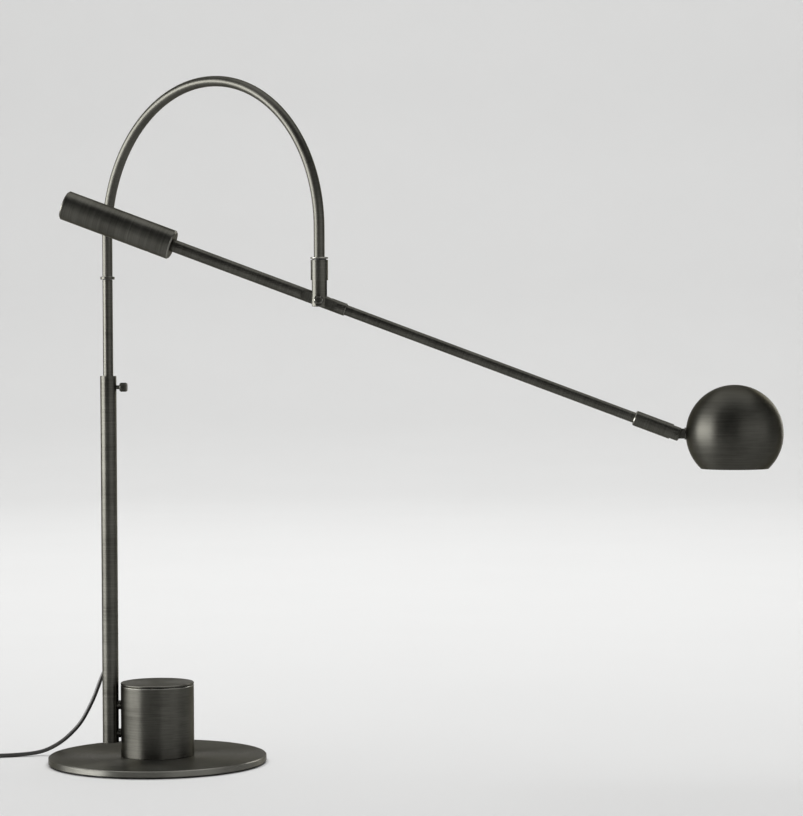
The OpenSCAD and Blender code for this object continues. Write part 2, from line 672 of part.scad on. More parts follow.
module shade_shell() color(bronze) shade_frame() difference() {
    sphere(r = shade_r, $fn = 144);
    sphere(r = shade_inner_r, $fn = 144);
    translate([-shade_d, -shade_d, -shade_cut - shade_d])
        cube([2 * shade_d, 2 * shade_d, shade_d]);
    translate([-shade_d, 0, 0]) to_x() cylinder(d = stud_d + 2 * fixed_fit, h = shade_d);
}
module neck_washer() color(steel) shade_frame() translate([neck_washer_x, 0, 0]) to_x()
    ring(neck_washer_d, stud_d + 2 * fixed_fit, bracket_x - neck_washer_x);
bracket_leg = 6;
bracket_rim = 3.5;
module holder_bracket() color(steel) shade_frame() difference() {
    union() {
        translate([bracket_x, -bracket_w / 2, -bracket_leg])
            cube([bracket_t, bracket_w, bracket_up + bracket_t + bracket_leg]);
        translate([bracket_x, -bracket_w / 2, bracket_up]) cube([-bracket_x, bracket_w, bracket_t]);
        translate([0, 0, bracket_up]) cylinder(r = holder_screw_x + bracket_rim, h = bracket_t);
    }
    translate([bracket_x - 1, 0, 0]) to_x() cylinder(d = stud_d + 2 * fixed_fit, h = bracket_t + 2);
    translate([0, 0, bracket_up - 1]) cylinder(d = holder_d + 2 * fixed_fit, h = bracket_t + 2);
    holder_screw_places() cylinder(d = holder_screw_d + 2 * fixed_fit, h = 2 * bracket_up);
}
module neck_nut() color(brass) shade_frame()
    translate([bracket_x + bracket_t, 0, 0]) to_x() difference() {
        cylinder(d = stud_d + nut_margin, h = neck_nut_t, $fn = 6);
        translate([0, 0, -1]) cylinder(d = stud_d + 2 * fixed_fit, h = neck_nut_t + 2);
    }
holder_drop = 4;
holder_chamfer = 0.8;
flange_rim = 3;
holder_head_d = 5;
holder_head_l = 1.8;
holder_nut_d = 5.4;
holder_nut_t = 2.4;
holder_mouth = bracket_up - holder_drop;
flange_z = bracket_up + bracket_t;
module holder_screw_places() for (s = [-1, 1]) translate([0, s * holder_screw_x, 0]) children();
module lampholder() color(ceramic) shade_frame() difference() {
    union() {
        translate([0, 0, holder_mouth]) bar(holder_d, holder_h, holder_chamfer);
        translate([0, 0, flange_z]) cylinder(r = holder_screw_x + flange_rim, h = holder_flange_t);
    }
    translate([0, 0, holder_mouth - 1]) cylinder(d = bulb_base_d + 2 * fixed_fit, h = bulb_base_l + 1);
    holder_screw_places() cylinder(d = holder_screw_d + 2 * fixed_fit, h = 4 * bracket_up);
}
module holder_screws() color(steel) shade_frame() holder_screw_places() {
    translate([0, 0, bracket_up - holder_nut_t]) {
        cylinder(d = holder_screw_d, h = holder_nut_t + bracket_t + holder_flange_t);
        cylinder(d = holder_nut_d, h = holder_nut_t, $fn = 6);
    }
    translate([0, 0, flange_z + holder_flange_t]) cylinder(d = holder_head_d, h = holder_head_l);
}
module bulb_base() color(ceramic) shade_frame() translate([0, 0, holder_mouth])
    cylinder(d = bulb_base_d, h = bulb_base_l);
module bulb_glass() color([1, 0.97, 0.88]) shade_frame() translate([0, 0, holder_mouth - bulb_l]) {
    translate([0, 0, bulb_d / 2]) cylinder(d = bulb_d, h = bulb_l - bulb_d / 2);
    translate([0, 0, bulb_d / 2]) sphere(d = bulb_d);
}

// Mains cord: strain relief, free run, coil, tie and plug
gland_barrel_d = 6.4;
gland_barrel_in = 1.5;
gland_flange_r = 4.6;
gland_flange_sink = 1.5;
gland_flange_t = 1.6;
gland_root_r = 3.9;
gland_root_l = 2.4;
gland_tip_wall = 0.8;
gland_back = pole_d / 2 + gland_l;
module cord_gland() color(black) at_pole(gland_z) difference() {
    front = pole_d / 2 - pole_wall - gland_barrel_in;
    seat = pole_d / 2 - gland_flange_sink;
    barrel_r = gland_barrel_d / 2;
    tip_r = cord_d / 2 + gland_tip_wall;
    to_back() rotate_extrude() polygon([[0, front], [barrel_r, front], [barrel_r, seat],
        [gland_flange_r, seat], [gland_flange_r, pole_d / 2 + gland_flange_t],
        [gland_root_r, pole_d / 2 + gland_root_l], [tip_r, gland_back], [0, gland_back]]);
    translate([0, 0, -pole_d]) ring(pole_d, gland_barrel_d, 2 * pole_d);
}

// The free run goes straight back from the strain relief, drops to the table and leaves to the left
run_straight = 4;
run_route = concat([[pole_x, gland_back, gland_z], [pole_x, gland_back + run_straight, gland_z]],
    [[-46.7, 37, 111], [-47.6, 42, 108], [-49.4, 46, 103], [-52, 48.6, 96.5], [-56, 50, 88.5],
    [-60.6, 50.8, 80], [-65.2, 51.3, 68], [-69.2, 51.5, 58], [-75, 51.5, 46], [-82, 51.5, 34],
    [-90.5, 51.5, 24], [-102, 51, 14], [-115.5, 50, 6.5], [-128, 47.5, 3.2], [-145, 41.5, 2.2],
    [-163, 36, 2.2], [-177, 32.8, 2.8], [-184, 32, 3], [-190, 32, 3]]);
run_last = len(run_route) - 1;
coil_lift = 1;
coil_gap_up = 0.45;
coil_floor = cord_d / 2 + coil_lift;
coil_level = cord_d + coil_gap_up;
coil_layers = 4;
coil_steps = 24;
coil_out = coil_r + layer_turns * coil_pitch / 2;
coil_entry = [-196, 32];
coil_lead = 3;
coil_centre = [coil_entry.x, coil_entry.y - coil_out];
coil_turns = coil_layers * layer_turns;
tail_level = 17;
tail_drop = 24;
tail_end = 6;
tail_steps = 10;
plug_lift = 0.05;
mains_plug_z = mains_plug_d / 2 + plug_lift;
coil_top = coil_floor + (coil_layers - 1) * coil_level;

function clamp01(x) = min(1, max(0, x));
function ease(x) = x * x * (3 - 2 * x);
function layer_radius(u) =
    let (k = floor(u), part = u - k, span = layer_turns * coil_pitch)
    coil_out - span * (k % 2 == 0 ? part : 1 - part);
function climb(t, k = 1) =
    k == coil_layers ? 0 : clamp01((t - k * layer_turns) * 2 + 0.5) + climb(t, k + 1);
function coil_point(t) =
    let (r = layer_radius(min(t / layer_turns, coil_layers - tiny / coil_steps)), a = 90 + 360 * t)
    [coil_centre.x + r * cos(a), coil_centre.y + r * sin(a), coil_floor + coil_level * climb(t)];
function tail_point(l) = [coil_centre.x - coil_out, coil_centre.y - l,
    coil_top + (mains_plug_z - coil_top) * ease(clamp01((l - tail_level) / tail_drop))];
coil_line = concat(
    [for (x = [run_route[run_last].x, coil_entry.x + coil_lead]) [x, coil_entry.y, coil_floor]],
    [for (i = [0 : coil_turns * coil_steps]) coil_point(i / coil_steps)],
    [for (i = [1 : tail_steps]) tail_point(i * (tail_level + tail_drop) / tail_steps)],
    [tail_point(tail_level + tail_drop + tail_end)]);

// A smooth curve through a list of points, and a tube swept along points
function between(a, b, c, d, t) = 0.5 * (2 * b + (c - a) * t + (2 * a - 5 * b + 4 * c - d) * t * t
    + (3 * b - a - 3 * c + d) * t * t * t);
function smooth(p, n) = let (last = len(p) - 1) concat(
    [for (i = [0 : last - 1], j = [0 : n - 1])
        between(p[max(i - 1, 0)], p[i], p[i + 1], p[min(i + 2, last)], j / n)], [p[last]]);
function unit(v) = v / norm(v);
function heading(p, i) = unit(p[min(i + 1, len(p) - 1)] - p[max(i - 1, 0)]);
function square_to(v, t) = unit(v - (v * t) * t);
function side_vectors(p, first) = [for (i = 0, v = square_to(first, heading(p, 0)); i < len(p);
    i = i + 1, v = i < len(p) ? square_to(v, heading(p, i)) : v) v];
module swept_tube(p, d, sides, first) {
    n = len(p);
    side = side_vectors(p, first);
    points = [for (i = [0 : n - 1], k = [0 : sides - 1])
        let (up = cross(heading(p, i), side[i]), a = 360 * k / sides)
        p[i] + d / 2 * (cos(a) * side[i] + sin(a) * up)];
    walls = [for (i = [0 : n - 2], k = [0 : sides - 1])
        let (a = i * sides + k, b = i * sides + (k + 1) % sides)
        each [[a, a + sides, b], [b, a + sides, b + sides]]];
    caps = [for (k = [1 : sides - 2]) each [[0, k, k + 1],
        [(n - 1) * sides, (n - 1) * sides + k + 1, (n - 1) * sides + k]]];
    polyhedron(points, concat(walls, caps));
}
run_curve = smooth([for (i = [1 : run_last - 1]) run_route[i]], 2);
run_line = concat([run_route[0]], run_curve, [run_route[run_last]]);
run_sides = 8;
coil_sides = 6;
module cord_run() color(black) swept_tube(run_line, cord_d, run_sides, [1, 0, 0]);
function least_gap(p, apart) = min([for (i = [0 : len(p) - 1 - apart], j = [i + apart : len(p) - 1])
    norm(p[i] - p[j])]) - cord_d;
module cord_coil() {
    echo(str("Least gap between the coil's turns: ", least_gap(coil_line, coil_steps / 2), " mm"));
    color(black) swept_tube(coil_line, cord_d, coil_sides, [0, 0, 1]);
}
tie_t = 0.8;
tie_w = 6;
tie_slack = 0.2;
tie_corner = 1;
module tie_outline(out) {
    far = cord_d / 2 + tie_slack + out;
    low = [coil_out - layer_turns * coil_pitch - far, coil_lift - tie_slack - out];
    high = [coil_out + far, coil_top + far];
    c = tie_corner + out;
    polygon([[low.x + c, low.y], [high.x - c, low.y], [high.x, low.y + c], [high.x, high.y - c],
             [high.x - c, high.y], [low.x + c, high.y], [low.x, high.y - c], [low.x, low.y + c]]);
}
module cord_tie() color(nylon) translate([coil_centre.x, coil_centre.y + tie_w / 2, 0]) rotate([90, 0, 0])
    linear_extrude(tie_w) difference() {
        tie_outline(tie_t);
        tie_outline(0);
    }
mains_plug_y = coil_centre.y - tail_level - tail_drop - tail_end;
boot_wall = 1;
boot_flare = 0.6;
boot_l = 10;
grip_z = 17;
grip_waist = 1.6;
grip_swell = 0.4;
face_rim_l = 5;
face_chamfer = 0.6;
blade_step = 12.7;
blade_t = 1.5;
blade_w = 6.4;
module plug_frame(l) translate([coil_centre.x - coil_out, mains_plug_y - l, mains_plug_z])
    rotate([90, 0, 0]) children();
module plug_body() color(black) plug_frame(0) {
    boot_r = cord_d / 2 + boot_wall;
    face_r = mains_plug_d / 2;
    grip_r = face_r - grip_waist;
    rotate_extrude() polygon([[0, 0], [boot_r, 0], [boot_r + boot_flare, boot_l], [grip_r, grip_z],
        [grip_r + grip_swell, mains_plug_l - face_rim_l - 1], [face_r, mains_plug_l - face_rim_l],
        [face_r, mains_plug_l - face_chamfer], [face_r - face_chamfer, mains_plug_l], [0, mains_plug_l]]);
}
module plug_blades() color(brass) plug_frame(mains_plug_l) for (s = [-1, 1])
    translate([(s * blade_step - blade_t) / 2, -blade_w / 2, 0]) cube([blade_t, blade_w, blade_l]);

base_plate();
base_pad();
base_screws();
drum_shell();
drum_ballast();
drum_deck();
dimmer_module();
dimmer_nut();
dimmer_shaft();
dimmer_cap();
pole();
pole_plug();
pole_spacers();
pole_screws();
pole_bush();
lock_screw();
stem_tube();
stem_guide();
stem_bush();
foot_washer();
stem_lead();
arch_tube();
arch_foot();
foot_clip();
arch_tip();
tip_clip();
arch_lead();
fork_body();
fork_bush();
fork_washer();
pivot_screw();
pivot_nut();
pivot_washers();
arm_sleeve();
arm_rod();
rod_stop();
arm_lead();
counterweight();
weight_grub();
ferrule();
ferrule_bush();
knuckle_pin();
shade_neck();
shade_shell();
neck_washer();
holder_bracket();
neck_nut();
lampholder();
holder_screws();
bulb_base();
bulb_glass();
cord_gland();
cord_run();
cord_coil();
cord_tie();
plug_body();
plug_blades();
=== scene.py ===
"""Looks of a swing arm table lamp: brushed dark bronze, a mains cord and plug, and a pale stage."""

import json
from math import cos, pi, radians, sin

import bmesh
import bpy
from bpy.props import FloatProperty, FloatVectorProperty, IntProperty, PointerProperty
from mathutils import Matrix, Vector


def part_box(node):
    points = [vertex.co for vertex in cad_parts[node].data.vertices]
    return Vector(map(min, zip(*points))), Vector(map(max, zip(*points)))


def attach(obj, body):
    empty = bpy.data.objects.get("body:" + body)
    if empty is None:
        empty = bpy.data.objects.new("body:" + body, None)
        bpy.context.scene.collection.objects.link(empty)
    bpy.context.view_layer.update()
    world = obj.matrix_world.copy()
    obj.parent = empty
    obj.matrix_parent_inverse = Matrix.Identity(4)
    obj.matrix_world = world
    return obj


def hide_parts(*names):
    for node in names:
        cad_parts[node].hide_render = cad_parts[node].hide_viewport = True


bl_info = {
    "name": "Swing Arm Table Lamp",
    "version": (1, 0, 0),
    "blender": (4, 5, 0),
    "location": "View3D > Sidebar > Lamp",
    "description": "Gives a swing arm table lamp its bronze finish, mains cord and pale stage",
    "category": "Object",
}

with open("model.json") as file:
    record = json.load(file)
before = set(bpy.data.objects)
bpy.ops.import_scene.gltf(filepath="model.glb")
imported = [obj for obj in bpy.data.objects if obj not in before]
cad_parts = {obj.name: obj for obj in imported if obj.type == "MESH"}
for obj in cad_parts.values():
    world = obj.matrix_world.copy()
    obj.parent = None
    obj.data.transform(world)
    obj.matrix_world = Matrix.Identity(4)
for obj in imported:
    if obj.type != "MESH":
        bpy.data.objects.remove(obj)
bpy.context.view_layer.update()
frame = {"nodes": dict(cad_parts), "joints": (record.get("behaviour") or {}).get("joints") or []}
JOINTS = {joint["name"]: joint for joint in frame["joints"]}
IMAGE_HEIGHT = 816
MM = 0.001
POLE_RADIUS = 8 * MM
TUBE_RADIUS = 5 * MM
BRONZE_GLANCE = (0.45, 0.44, 0.41, 1)
BRUSHED_ROUND = 0.25
GROOVE_DEPTH = 0.06 * MM
GRAIN_DEPTH = 0.1 * MM
PATINA_SCALE = 23.0
LINE_SHARE = 0.55
# Strength of the lighter chamfered edges: scuffed wear with a painted highlight.
EDGE_WEAR_AND_HIGHLIGHT = 3.4
THREAD_RATE = 6500


# Places and axes of the lamp, read from its joints and nodes

def joint_place(name):
    """Where a joint's axis passes, at rest."""
    return Vector(JOINTS[name]["pos_m"])


def joint_axis(name):
    """The direction that a joint turns about or slides along."""
    return Vector(JOINTS[name]["axis"]).normalized()


def frame_along(origin, axis):
    """The matrix of a local frame at origin, whose Z runs along axis."""
    turn = Vector(axis).to_track_quat("Z", "Y").to_matrix().to_4x4()
    return Matrix.Translation(origin) @ turn


UP = Vector((0, 0, 1))
POLE = joint_place("arch_swivel")
FORK = joint_place("fork_swivel")
PIVOT = joint_place("arm_tilt")
KNUCKLE = joint_place("shade_tilt")
ARM_AXIS = joint_axis("shade_turn")
TILT_AXIS = joint_axis("arm_tilt")
LOCK = joint_place("lock_turn")
ARCH_RADIUS = (FORK - POLE).xy.length / 2
ARCH_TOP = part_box("arch_tube")[1].z
ARCH_MIDDLE = Vector((*((POLE + FORK) / 2).xy, ARCH_TOP - ARCH_RADIUS - TUBE_RADIUS))
ARCH_NORMAL = (FORK - POLE).xy.to_3d().cross(UP).normalized()
BALL_RADIUS = (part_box("shade_shell")[1].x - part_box("shade_shell")[0].x) / 2
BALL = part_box("shade_shell")[1] - Vector((BALL_RADIUS,) * 3)
NECK_AXIS = (BALL - KNUCKLE).normalized()


# Properties that a user can change

class LampCordSettings(bpy.types.PropertyGroup):
    """Sizes of the mains cord and of the coil that its spare length is wound into."""

    diameter: FloatProperty(
        name="Diameter", description="Diameter of the cord", default=4 * MM, unit="LENGTH")
    coil_radius: FloatProperty(
        name="Coil radius", description="Middle radius of the coil's turns", unit="LENGTH",
        default=23 * MM)
    pitch: FloatProperty(
        name="Pitch", description="Distance between neighbouring turns", unit="LENGTH",
        default=4.5 * MM)
    level: FloatProperty(
        name="Level", description="Height from one layer to the next", unit="LENGTH",
        default=4.45 * MM)
    lift: FloatProperty(
        name="Lift", description="Height of the lowest turns' centre", unit="LENGTH",
        default=3 * MM)
    layer_turns: FloatProperty(
        name="Turns in a layer", description="Turns of the coil in each layer", default=2.5625)
    layers: IntProperty(name="Layers", description="Layers of the coil", default=4, min=2)


class LampFinishSettings(bpy.types.PropertyGroup):
    """Colours and grain of the finishes."""

    bronze_dark: FloatVectorProperty(
        name="Bronze, dark", description="Darkest tone of the bronze", subtype="COLOR", size=4,
        default=(0.0432, 0.0418, 0.0357, 1))
    bronze_light: FloatVectorProperty(
        name="Bronze, light", description="Lightest tone of the bronze", subtype="COLOR", size=4,
        default=(0.1155, 0.1135, 0.1, 1))
    # The tone of scuffed edges, which also carries the painted highlights.
    bronze_edge: FloatVectorProperty(
        name="Bronze, edge", description="Tone of the bronze where edges are rubbed",
        subtype="COLOR", size=4, default=(0.25, 0.246, 0.222, 1))
    bronze_roughness: FloatProperty(
        name="Bronze roughness", description="Middle roughness of the bronze", default=0.34)
    grain_pitch: FloatProperty(
        name="Grain pitch", description="Distance between brush lines", unit="LENGTH",
        default=1.1 * MM)
    grain_length: FloatProperty(
        name="Grain length", description="Length of a brush line", default=28 * MM, unit="LENGTH")
    enamel: FloatVectorProperty(
        name="Enamel", description="White enamel inside the shade", subtype="COLOR", size=4,
        default=(0.80, 0.78, 0.73, 1))
    jacket: FloatVectorProperty(
        name="Jacket", description="Jacket of the mains cord", subtype="COLOR", size=4,
        default=(0.030, 0.029, 0.027, 1))


class LampStageSettings(bpy.types.PropertyGroup):
    """The camera, the floor and the lights."""

    camera_place: FloatVectorProperty(
        name="Camera", description="Place of the camera", subtype="TRANSLATION", unit="LENGTH",
        default=(0.2439, -2.6755, 0.4066))
    camera_pitch: FloatProperty(
        name="Pitch", description="How far the camera looks down", subtype="ANGLE",
        default=radians(1.19))
    camera_roll: FloatProperty(
        name="Roll", description="How far the camera leans", subtype="ANGLE",
        default=radians(-0.29))
    focal_pixels: FloatProperty(
        name="Focal length", description="Focal length in pixels of the picture", default=2700)
    floor: FloatVectorProperty(
        name="Floor", description="Colour of the floor and backdrop", subtype="COLOR", size=4,
        default=(0.74, 0.74, 0.735, 1))
    sky: FloatProperty(name="Sky", description="Strength of the even light all round", default=0.06)
    key: FloatProperty(
        name="Key", description="Power of the wide soft light on the left", subtype="POWER",
        default=120)
    fill: FloatProperty(
        name="Fill", description="Power of the weak light in front on the right", subtype="POWER",
        default=15)
    top: FloatProperty(
        name="Top", description="Power of the wide light overhead", subtype="POWER", default=72)
    rim: FloatProperty(
        name="Rim", description="Power of the narrow light behind on the right", subtype="POWER",
        default=14)
    back: FloatProperty(
        name="Back", description="Power of the wide light on the backdrop alone", subtype="POWER",
        default=300)
    over: FloatProperty(
        name="Over", description="Power of the wide light on the floor alone", subtype="POWER",
        default=125)


# Node trees

class Signal:
    """A node's output that takes part in Python arithmetic: each expression adds its Math node."""

    def __init__(self, graph, socket):
        self.graph = graph
        self.socket = socket

    def math(self, operation, first, second=0.0):
        """Adds a Math node to the graph and returns its value."""
        return self.graph.node("ShaderNodeMath", {"operation": operation}, {0: first, 1: second})

    def __add__(self, other):
        return self.math("ADD", self, other)

    def __sub__(self, other):
        return self.math("SUBTRACT", self, other)

    def __rsub__(self, other):
        return self.math("SUBTRACT", other, self)

    def __mul__(self, other):
        return self.math("MULTIPLY", self, other)

    def __truediv__(self, other):
        return self.math("DIVIDE", self, other)

    def __pow__(self, other):
        return self.math("POWER", self, other)

    def __abs__(self):
        return self.math("ABSOLUTE", self)

    __radd__ = __add__
    __rmul__ = __mul__


class Graph:
    """A node tree, with the one method that adds nodes to it."""

    def __init__(self, tree):
        self.tree = tree

    def node(self, kind, settings=None, inputs=None, out=0):
        """Adds a node of this kind, sets it up, feeds its sockets and returns one output."""
        made = self.tree.nodes.new(kind)
        for key, value in (settings or {}).items():
            setattr(made, key, value)
        for key, value in (inputs or {}).items():
            self.feed(made.inputs[key], value)
        return Signal(self, made.outputs[out]) if made.outputs else None

    def feed(self, socket, value):
        """Links a signal to a socket, or sets the socket's own value."""
        if isinstance(value, Signal):
            self.tree.links.new(value.socket, socket)
        else:
            socket.default_value = value


class Finish(Graph):
    """A procedural material with one Principled shader."""

    def __init__(self, name, constants=None):
        self.material = bpy.data.materials.new(name)
        self.material.use_nodes = True
        super().__init__(self.material.node_tree)
        self.shader = self.tree.nodes["Principled BSDF"]
        for socket, value in (constants or {}).items():
            self.set(socket, value)

    def set(self, socket, value):
        """Feeds one of the shader's sockets."""
        self.feed(self.shader.inputs[socket], value)

    def coordinate(self, place=None, output="Object"):
        """Object coordinates, or object normals, as seen from a local frame."""
        found = self.node("ShaderNodeTexCoord", out=output)
        if place is None:
            return found
        origin = place.to_translation() if output == "Object" else (0, 0, 0)
        return self.node("ShaderNodeMapping", {"vector_type": "TEXTURE"}, {
            "Vector": found, "Location": origin, "Rotation": place.to_euler()})

    def parts(self, vector):
        """A vector's three values."""
        split = self.node("ShaderNodeSeparateXYZ", inputs={0: vector}).socket.node
        return [Signal(self, split.outputs[i]) for i in range(3)]

    def joined(self, x, y, z):
        """A vector of three values."""
        return self.node("ShaderNodeCombineXYZ", inputs={0: x, 1: y, 2: z})

    def noise(self, vector, scale, detail=3.0, roughness=0.55):
        """A noise of this many waves to a metre."""
        return self.node("ShaderNodeTexNoise", inputs={
            "Vector": vector, "Scale": scale, "Detail": detail, "Roughness": roughness})

    def mix(self, factor, low, high):
        """A colour between low and high."""
        return self.node("ShaderNodeMix", {"data_type": "RGBA"}, {0: factor, 6: low, 7: high},
                         out=2)

    def spread(self, value, low, high):
        """Stretches a value's range, from low to high, over 0 to 1."""
        return self.node("ShaderNodeMapRange", inputs={
            "Value": value, "From Min": low, "From Max": high})

    def bump(self, height, strength, distance):
        """Raises the surface where height is more, for the light alone."""
        self.set("Normal", self.node("ShaderNodeBump", inputs={
            "Height": height, "Strength": strength, "Distance": distance}))


# Finishes

def off_axis(x, y):
    """Distance from the axis of a turned piece."""
    return (x * x + y * y) ** 0.5


def brush_lines(finish, place, settings, arch_radius=None):
    """Brush lines that run round a turned piece, or round the arch's bent tube."""
    x, y, z = finish.parts(finish.coordinate(place))
    fine, long = 1 / settings.grain_pitch, 1 / settings.grain_length
    across = off_axis(x, y)
    if arch_radius:
        angle = finish.node("ShaderNodeMath", {"operation": "ARCTAN2"}, {0: y, 1: x})
        line = finish.joined(angle * (arch_radius * fine), across * long, z * long)
    else:
        line = finish.joined(z * fine, across * fine, (x + y * 0.6) * long)
    return finish.spread(finish.noise(line, 1.0, detail=4.0, roughness=0.62), 0.28, 0.72)


def brushed(finish, place, groove, extra_roughness=0.0, arch_radius=None, light_share=1.0):
    """Brush grooves round the axis of a place, with dark bronze's tone, roughness and patina."""
    settings = bpy.context.scene.lamp_finish
    lines = brush_lines(finish, place, settings, arch_radius)
    blotches = finish.noise(finish.coordinate(place), PATINA_SCALE, detail=5.0)
    patina = finish.spread(blotches, 0.3, 0.7)
    light = lines * (LINE_SHARE * light_share) + patina * ((1 - LINE_SHARE) * light_share)
    tone = finish.mix(light, tuple(settings.bronze_dark), tuple(settings.bronze_light))
    middle = settings.bronze_roughness + extra_roughness
    roughness = middle + (lines - 0.5) * 0.10 + (patina - 0.5) * 0.07
    finish.bump(lines, groove, GROOVE_DEPTH)
    return tone, roughness, patina


def bronze(name, place, anisotropic=0.0, arch_radius=None, worn_and_lit=True, groove=0.16,
           extra_roughness=0.0, wall_highlight=0.0, rim_radius=None, lip=None):
    """Dark satin bronze: scuffed edges, and painted highlights on edges, wall, head rim and lip."""
    finish = Finish(name, {
        "Metallic": 1.0, "Anisotropic": anisotropic, "Anisotropic Rotation": BRUSHED_ROUND,
        "Specular Tint": BRONZE_GLANCE})
    tone, roughness, patina = brushed(finish, place, groove, extra_roughness, arch_radius)
    if worn_and_lit:
        # Chamfered edges turn lighter: scuffed wear with a painted highlight; walls get a painted
        # highlight.
        level = abs(finish.parts(finish.coordinate(place, "Normal"))[2])
        rubbed_and_lit = level * (1 - level) * EDGE_WEAR_AND_HIGHLIGHT + (1 - level) * wall_highlight
        if rim_radius:
            # A lighter ring round a head's rim: a painted highlight.
            x, y, _ = finish.parts(finish.coordinate(place))
            start, end = rim_radius - 1.9 * MM, rim_radius - 0.9 * MM
            rubbed_and_lit = rubbed_and_lit + finish.spread(off_axis(x, y), start, end)
        if lip:
            # A lighter band just under the lip: a painted highlight.
            height = finish.parts(finish.coordinate(place))[2]
            rubbed_and_lit = rubbed_and_lit + finish.spread(height, lip - 1.4 * MM, lip - 0.7 * MM) * 0.8
        edge = tuple(bpy.context.scene.lamp_finish.bronze_edge)
        tone = finish.mix(rubbed_and_lit * (patina * 0.4 + 0.6), tone, edge)
        roughness = roughness - rubbed_and_lit * 0.06
    finish.set("Base Color", tone)
    finish.set("Roughness", roughness)
    return finish.material


def shade_bronze():
    """The ball's bronze outside, and white enamel inside."""
    settings = bpy.context.scene.lamp_finish
    place = Matrix.Translation(BALL)
    finish = Finish("bronze_shade", {
        "Anisotropic": 0.62, "Anisotropic Rotation": BRUSHED_ROUND, "Specular Tint": BRONZE_GLANCE})
    # The ball's bronze is a darker copy of the rest: painted shade that dims its highlight.
    tone, roughness, _ = brushed(finish, place, 0.14, extra_roughness=0.09, light_share=0.65)
    reach = finish.node("ShaderNodeVectorMath", {"operation": "LENGTH"},
                        {0: finish.coordinate(place)}, out="Value")
    outside = finish.spread(reach, BALL_RADIUS - 0.9 * MM, BALL_RADIUS - 0.7 * MM)
    finish.set("Base Color", finish.mix(outside, tuple(settings.enamel), tone))
    finish.set("Metallic", outside)
    finish.set("Roughness", roughness)
    return finish.material


def speckled(name, low, high, scale, roughness, grain=0.05, metallic=0.0):
    """A finish whose tone and sheen drift a little, with a fine grain."""
    finish = Finish(name, {"Metallic": metallic})
    local = finish.coordinate()
    drift = finish.spread(finish.noise(local, scale, detail=4.0), 0.3, 0.7)
    fine = finish.noise(local, scale * 30, detail=2.0)
    finish.set("Base Color", finish.mix(drift * 0.6 + fine * 0.4, (*low, 1), (*high, 1)))
    finish.set("Roughness", roughness + (drift - 0.5) * 0.12)
    finish.bump(fine, grain, GRAIN_DEPTH)
    return finish.material


def cord_jacket():
    """Satin jacket of the cord, with faint draw marks along its length."""
    settings = bpy.context.scene.lamp_finish
    finish = Finish("cord_jacket", {"Specular IOR Level": 0.45})
    round_it, along, _ = finish.parts(finish.node("ShaderNodeUVMap", {"uv_map": "lie"}))
    marks = finish.noise(finish.joined(round_it * 14, along * 30, 0.0), 1.0, detail=3.0)
    scuffs = finish.spread(finish.noise(finish.coordinate(), 160.0, detail=4.0), 0.35, 0.75)
    dark = tuple(settings.jacket)
    light = tuple(min(1, 1.7 * value) for value in dark[:3]) + (1,)
    finish.set("Base Color", finish.mix(marks * 0.6 + scuffs * 0.4, dark, light))
    finish.set("Roughness", 0.42 + (scuffs - 0.5) * 0.14)
    finish.bump(marks, 0.12, GRAIN_DEPTH)
    return finish.material


def woven_band():
    """The tie's woven band, with threads across and along it."""
    finish = Finish("woven_band", {"Sheen Weight": 0.3})
    x, y, z = finish.parts(finish.coordinate())
    warp = finish.node("ShaderNodeMath", {"operation": "SINE"}, {0: y * THREAD_RATE})
    weft = finish.node("ShaderNodeMath", {"operation": "SINE"}, {0: (x + z) * THREAD_RATE})
    weave = warp * weft * 0.5 + 0.5
    finish.set("Base Color", finish.mix(weave, (0.02, 0.02, 0.02, 1), (0.06, 0.06, 0.06, 1)))
    finish.set("Roughness", 0.75 + weave * 0.15)
    finish.bump(weave, 0.4, GRAIN_DEPTH)
    return finish.material


def frosted_glass():
    """The bulb's frosted glass, which lets light through softly."""
    finish = Finish("frosted_glass", {"Transmission Weight": 0.75, "IOR": 1.47})
    frost = finish.spread(finish.noise(finish.coordinate(), 2200.0, detail=3.0), 0.3, 0.7)
    finish.set("Base Color", finish.mix(frost, (0.90, 0.89, 0.86, 1), (0.97, 0.96, 0.93, 1)))
    finish.set("Roughness", 0.42 + frost * 0.16)
    finish.bump(frost, 0.08, 0.05 * MM)
    return finish.material


def paint(material, *nodes):
    """Gives CAD nodes a finish."""
    for node in nodes:
        mesh = frame["nodes"][node].data
        mesh.materials.clear()
        mesh.materials.append(material)


# Shapes

def solid(name, points, faces, material, smooth_angle=radians(35)):
    """An object at the origin from points and faces, with outward normals."""
    mesh = bpy.data.meshes.new(name)
    mesh.from_pydata([tuple(p) for p in points], [], faces)
    tidy = bmesh.new()
    tidy.from_mesh(mesh)
    bmesh.ops.recalc_face_normals(tidy, faces=tidy.faces)
    tidy.to_mesh(mesh)
    tidy.free()
    mesh.materials.append(material)
    mesh.shade_smooth()
    mesh.set_sharp_from_angle(angle=smooth_angle)
    made = bpy.data.objects.new(name, mesh)
    bpy.context.scene.collection.objects.link(made)
    return made


def rounded(corners, steps=5):
    """A profile of (r, z, fillet) corners, with each fillet drawn as an arc of short steps."""
    points = []
    for i, (r, z, fillet) in enumerate(corners):
        here = Vector((r, z))
        if not fillet:
            points.append(here)
            continue
        before = (Vector(corners[i - 1][:2]) - here).normalized()
        after = (Vector(corners[(i + 1) % len(corners)][:2]) - here).normalized()
        for k in range(steps + 1):
            t = k / steps
            points.append(here + fillet * ((1 - t) ** 2 * before + t ** 2 * after))
    return points


